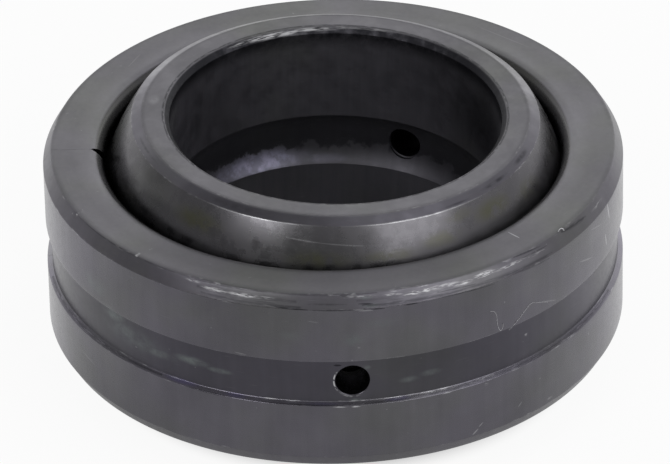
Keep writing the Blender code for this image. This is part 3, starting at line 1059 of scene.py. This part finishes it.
class BEARING_OT_inner_ring(bpy.types.Operator):
    """Turn the ball-shaped inner ring with its bore, and darken its steel."""

    bl_idname = "bearing.inner_ring"
    bl_label = "Inner ring"

    def execute(self, context):
        sizes, finish = context.scene.bearing_sizes, context.scene.bearing_finish
        ring = turned("inner_ring_turned", fine_profile(inner_profile(sizes)), sizes.turn_steps)
        groove_floor, ball_radius = sizes.bore_diameter / 2 / MM + BORE_GROOVE_DEPTH, sizes.ball_diameter / 2 / MM
        cut_away(ring, [oil_drill(sizes, INNER_HOLE_ANGLE, groove_floor, ball_radius, INNER_HOLE_FLARE)])
        finish_ring(ring, INNER_NICKS, 0.0, (inner_ring_steel(finish, scratch_group(), spot_group()),))
        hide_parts("inner_ring")
        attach(ring, "inner_ring")
        return {"FINISHED"}


class BEARING_OT_lint(bpy.types.Operator):
    """Lay the few fibres of lint that cling to the outer ring."""

    bl_idname = "bearing.lint"
    bl_label = "Lint"

    def execute(self, context):
        sizes, finish = context.scene.bearing_sizes, context.scene.bearing_finish
        curve = bpy.data.curves.new("outer_ring_lint", "CURVE")
        curve.dimensions = "3D"
        curve.bevel_depth = LINT_RADIUS * MM
        curve.bevel_resolution = 2
        curve.resolution_u = 6
        tilt = Matrix.Rotation(sizes.rest_tilt, 4, "Y")
        for thickness, fibre in LINT:
            spline = curve.splines.new("BEZIER")
            spline.bezier_points.add(len(fibre) - 1)
            for point, (angle, radius, height) in zip(spline.bezier_points, fibre):
                point.radius = thickness
                turn, off = math.radians(angle), radius + LINT_LIFT
                place = Vector((off * math.sin(turn), -off * math.cos(turn), height))
                point.co = tilt @ (place * MM)
                point.handle_left_type = point.handle_right_type = "AUTO"
        curve.materials.append(lint_fibre(finish))
        lint = placed("outer_ring_lint", curve)
        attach(lint, "outer_ring")
        return {"FINISHED"}


def soft_lamp(name, front_angle, elevation, distance, width, power, colour):
    """A square softbox that looks at the bearing. A front angle of 0 is on the camera's side."""
    lamp = bpy.data.lights.new(name, "AREA")
    lamp.shape = "SQUARE"
    lamp.size = width
    lamp.energy = power
    lamp.color = colour
    made = placed(name, lamp)
    turn, rise = math.radians(front_angle), math.radians(elevation)
    direction = Vector((math.sin(turn) * math.cos(rise), -math.cos(turn) * math.cos(rise), math.sin(rise)))
    made.location = direction * distance
    made.rotation_euler = (-made.location).to_track_quat("-Z", "Y").to_euler()


def floor_material(colour, footprint):
    """Pale floor. It looks white to the camera and in the metal, and keeps the bearing's shadow."""
    constants = {"Base_Color": (*colour, 1.0), "Roughness": 0.9, "Specular_IOR_Level": 0.0}
    material, recipe, shader = new_material("pale_floor", **constants)
    tree = recipe.tree
    seen = recipe.wires("ShaderNodeLightPath")
    looked_at = seen["Is Camera Ray"] + seen["Is Glossy Ray"]
    looked_at = recipe.calc("ADD", looked_at, seen["Is Transmission Ray"], clamp=True)
    place = recipe.wire("ShaderNodeTexCoord", "Object")
    beside = recipe.vector("LENGTH", place).fade(footprint * 0.66, footprint * 0.90)
    across, depth, _ = recipe.split(recipe.vector("NORMALIZE", place))
    in_metal = across.scaled(0.06, depth.fade(-1.0, 0.25).scaled(0.42, 0.60))
    in_metal = recipe.calc("MINIMUM", in_metal, 1.0)
    level = 1.0 + (in_metal - 1.0) * (1.0 - seen["Is Camera Ray"])
    white = recipe.node("ShaderNodeEmission", {"Color": (1, 1, 1, 1), "Strength": level})
    both = recipe.node("ShaderNodeMixShader", {0: looked_at * beside * 0.93})
    tree.links.new(shader.outputs[0], both.inputs[1])
    tree.links.new(white.outputs[0], both.inputs[2])
    tree.links.new(both.outputs[0], tree.nodes["Material Output"].inputs["Surface"])
    return material


def studio_world():
    """A soft room: pale behind the bearing and at its sides, dimmer overhead and on the camera's side."""
    world = bpy.data.worlds.new("soft_studio")
    world.use_nodes = True
    tree = world.node_tree
    recipe = Recipe(tree)
    across, depth, rise = recipe.split(recipe.wire("ShaderNodeTexCoord", "Generated"))
    turn = depth / recipe.vector("LENGTH", recipe.combine(across, depth, 0.001))
    beside = turn.fade(-1.0, 0.1)
    near_side = (1.0 - beside) * rise.fade(0.26, 0.50)
    room = across.scaled(0.20, near_side.scaled(0.18, beside.scaled(0.26, 0.30)))
    room = rise.fade(0.55, 0.92).between(0.0, 1.0, room, across.scaled(0.20, 0.40))
    backdrop = across.scaled(0.15, rise.fade(0.25, 0.90).scaled(-1.25, 1.62))
    level = turn.fade(0.20, 1.0).scaled(backdrop - room, room)
    recipe.feed(tree.nodes["Background"].inputs["Color"], level.grey())
    bpy.context.scene.world = world


class BEARING_OT_stage(bpy.types.Operator):
    """Set up the camera, the pale floor and the soft studio light."""

    bl_idname = "bearing.stage"
    bl_label = "Stage"

    def execute(self, context):
        stage, scene = context.scene.bearing_stage, context.scene
        camera = bpy.data.cameras.new("camera")
        camera.sensor_width = 36.0
        camera.lens = camera.sensor_width * stage.focal_pixels / PICTURE_WIDTH
        camera.shift_x, camera.shift_y = (pixels / PICTURE_WIDTH for pixels in SHIFT_PIXELS)
        camera.clip_start = 0.01
        made = placed("camera", camera)
        back, up = math.cos(stage.elevation), math.sin(stage.elevation)
        made.location = (0, -stage.distance * back, stage.distance * up)
        looking_down = Euler((math.pi / 2 - stage.elevation, 0, 0)).to_matrix()
        made.rotation_euler = (looking_down @ Matrix.Rotation(stage.roll, 3, "Z")).to_euler()
        scene.camera = made

        corners = [(x * FLOOR_REACH, y * FLOOR_REACH, 0) for x, y in ((-1, -1), (1, -1), (1, 1), (-1, 1))]
        floor = object_of("floor", corners, [(0, 1, 2, 3)])
        floor.location = (0, 0, cad_box[0][2])
        floor.data.materials.append(floor_material(stage.floor, scene.bearing_sizes.outer_diameter / 2))

        soft_lamp("left_softbox", -41.0, 36.0, 0.60, 0.24, 0.66, (1.0, 1.0, 1.0))
        soft_lamp("right_softbox", 43.0, 34.0, 0.60, 0.40, 0.98, (1.0, 1.0, 1.0))
        soft_lamp("overhead_softbox", 118.0, 72.0, 0.60, 0.24, 0.24, (0.98, 0.98, 1.0))
        studio_world()
        scene.view_settings.view_transform = "Standard"
        return {"FINISHED"}


class BEARING_PT_panel(bpy.types.Panel):
    """The bearing's sizes, colours and pieces."""

    bl_idname = "BEARING_PT_panel"
    bl_label = "Spherical plain bearing"
    bl_space_type = "VIEW_3D"
    bl_region_type = "UI"
    bl_category = "Bearing"

    def draw(self, context):
        for group in (context.scene.bearing_sizes, context.scene.bearing_finish, context.scene.bearing_stage):
            box = self.layout.box()
            for name in group.bl_rna.properties.keys():
                if name not in ("rna_type", "name"):
                    box.prop(group, name)
        for operator in OPERATORS:
            self.layout.operator(operator.bl_idname)


OPERATORS = (BEARING_OT_stage, BEARING_OT_outer_ring, BEARING_OT_inner_ring, BEARING_OT_lint)
GROUPS = {"bearing_sizes": BearingSizes, "bearing_finish": BearingFinish, "bearing_stage": BearingStage}


def register():
    for name, group in GROUPS.items():
        bpy.utils.register_class(group)
        setattr(bpy.types.Scene, name, PointerProperty(type=group))
    for operator in OPERATORS:
        bpy.utils.register_class(operator)
    bpy.utils.register_class(BEARING_PT_panel)


def unregister():
    bpy.utils.unregister_class(BEARING_PT_panel)
    for operator in reversed(OPERATORS):
        bpy.utils.unregister_class(operator)
    for name, group in GROUPS.items():
        delattr(bpy.types.Scene, name)
        bpy.utils.unregister_class(group)


def main():
    register()
    bpy.ops.bearing.stage()
    bpy.ops.bearing.outer_ring()
    bpy.ops.bearing.inner_ring()
    bpy.ops.bearing.lint()


if __name__ == "__main__":
    main()
